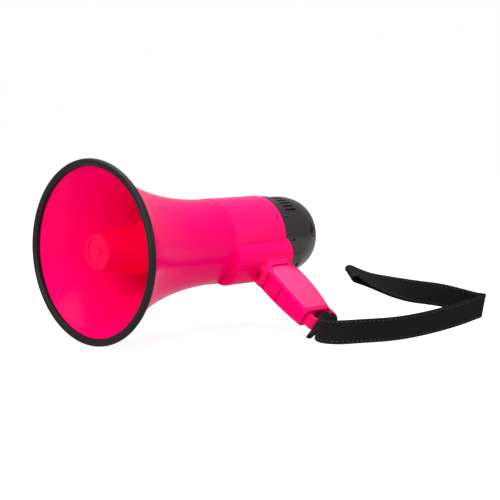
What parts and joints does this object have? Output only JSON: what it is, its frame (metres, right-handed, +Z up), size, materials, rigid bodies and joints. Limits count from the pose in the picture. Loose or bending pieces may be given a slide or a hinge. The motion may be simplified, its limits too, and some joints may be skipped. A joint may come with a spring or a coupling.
{
  "type": "handheld megaphone",
  "caption": "Handheld megaphone with a flared pink horn, black rubber rim, black rear cap, folding pistol grip with a trigger, and a woven wrist strap.",
  "frame": {"origin": "the centre of the mouth on the horn axis, in the middle plane of the rubber rim", "axes": "+X is level, across the horn, towards the side on which the grip lies; +Y runs along the horn axis, from the mouth to the microphone; +Z is up, with the megaphone lying on its rim, rolled 54 degrees about the horn axis"},
  "size_m": [0.2631, 0.295, 0.155],
  "materials": {
    "horn_plastic": "glossy moulded ABS, dyed through",
    "black_plastic": "glossy black moulded ABS",
    "rim_rubber": "soft satin rubber",
    "strap_fabric": "woven polypropylene webbing with stitched edges",
    "steel": "zinc-plated steel",
    "ferrite": "sintered ferrite",
    "film": "pressed phenolic film",
    "copper": "enamelled copper wire",
    "gasket": "closed-cell foam rubber",
    "board_green": "glass-epoxy board",
    "cell_jacket": "shrink sleeve of a dry cell",
    "spring_steel": "nickel-plated spring steel",
    "inner_plastic": "matte moulded plastic"
  },
  "bodies": {
    "megaphone": {"amplifier": "inner_plastic", "battery_cells": "cell_jacket", "battery_contacts": "spring_steel", "battery_holder": "inner_plastic", "capacitors": "inner_plastic", "control_board": "board_green", "diaphragm": "film", "diaphragm_clamp": "inner_plastic", "driver_front": "inner_plastic", "driver_gasket": "gasket", "driver_magnet": "ferrite", "driver_plate": "steel", "driver_yoke": "steel", "hinge_pin": "steel", "hinge_plate": "horn_plastic", "horn_bell": "horn_plastic", "mic_capsule": "steel", "mic_grille": "black_plastic", "mode_switch_body": "inner_plastic", "rear_cap": "black_plastic", "rear_housing": "horn_plastic", "reflector_cone": "horn_plastic", "reflector_screw": "steel", "rim_ring": "rim_rubber", "tone_tube": "horn_plastic", "voice_coil": "copper", "volume_control": "inner_plastic"},
    "handle": {"handle_shell": "horn_plastic", "handle_cover": "horn_plastic", "grip_screws": "steel", "trigger_pin": "steel", "talk_switch": "inner_plastic", "strap_hitch": "strap_fabric", "strap_near": "strap_fabric", "strap_far": "strap_fabric"},
    "trigger": {"trigger": "horn_plastic"},
    "volume_dial": {"volume_dial": "black_plastic"},
    "mode_switch": {"mode_switch": "black_plastic"},
    "battery_door": {"battery_door": "black_plastic"}
  },
  "joints": [
    {"name": "handle_fold", "type": "hinge", "parent": "megaphone", "child": "handle", "pos_m": [0.04304, 0.1605, -0.03093], "axis": [-0.5835, 0, -0.8121], "range_deg": [0, 85]},
    {"name": "trigger_press", "type": "hinge", "parent": "handle", "child": "trigger", "pos_m": [0.04873, 0.1655, -0.03501], "axis": [0.5835, 0, 0.8121], "range_deg": [0, 7], "stiffness_Nm_per_rad": 0.2, "springref_deg": -5.73},
    {"name": "volume_turn", "type": "hinge", "parent": "megaphone", "child": "volume_dial", "pos_m": [0.02709, 0.2334, 0.00625], "axis": [0, 1, 0], "range_deg": [-135, 135]},
    {"name": "mode_slide", "type": "slide", "parent": "megaphone", "child": "mode_switch", "axis": [0.5835, 0, 0.8121], "range_m": [0, 0.004]},
    {"name": "battery_door_slide", "type": "slide", "parent": "megaphone", "child": "battery_door", "axis": [0, 1, 0], "range_m": [0, 0.014]}
  ]
}
